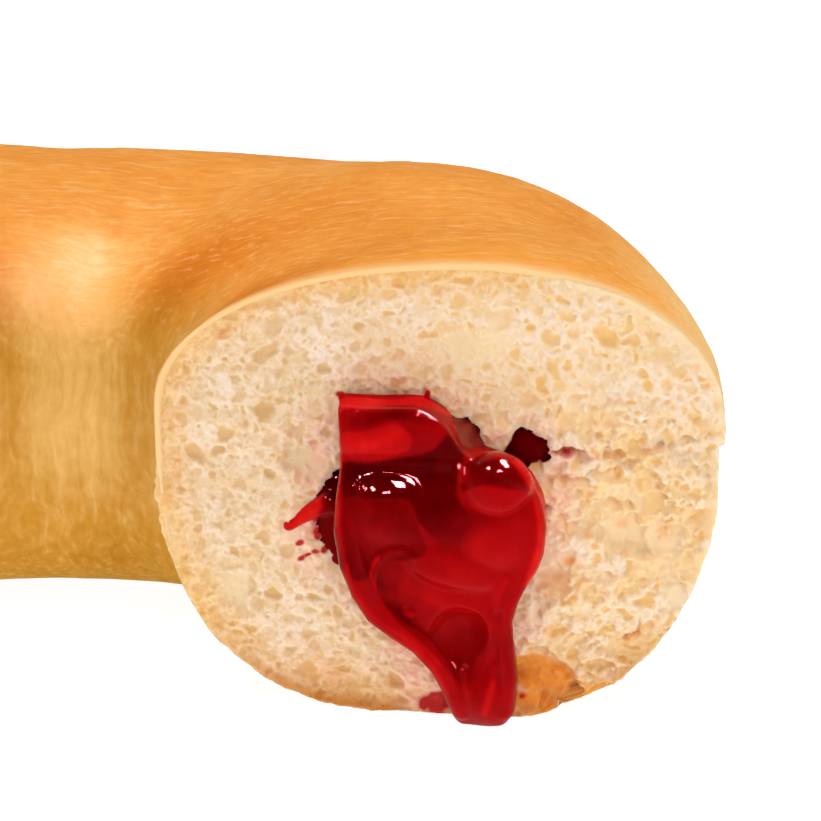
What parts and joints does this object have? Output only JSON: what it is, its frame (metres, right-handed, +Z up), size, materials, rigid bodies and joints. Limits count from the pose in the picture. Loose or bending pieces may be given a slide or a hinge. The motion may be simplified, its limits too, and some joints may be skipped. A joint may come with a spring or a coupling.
{
  "type": "jelly filled doughnut",
  "caption": "Half of a filled ring doughnut cut through its hole, with red jelly running through the dough and spilling down one cut face.",
  "frame": {"origin": "middle of the footprint of the whole thing, on the plane it rests on", "axes": "+X along the cut, towards the cut face with the long spill; +Z up; -Y out of the cut faces, +Y towards the ring's back"},
  "size_m": [0.1, 0.0542, 0.0365],
  "materials": {
    "dough": "satin baked golden crust; pale matt open crumb on the cut faces",
    "jelly": "wet gloss, deep red and slightly see-through"
  },
  "bodies": {
    "root": {"dough": "dough", "jelly": "jelly"}
  },
  "joints": []
}
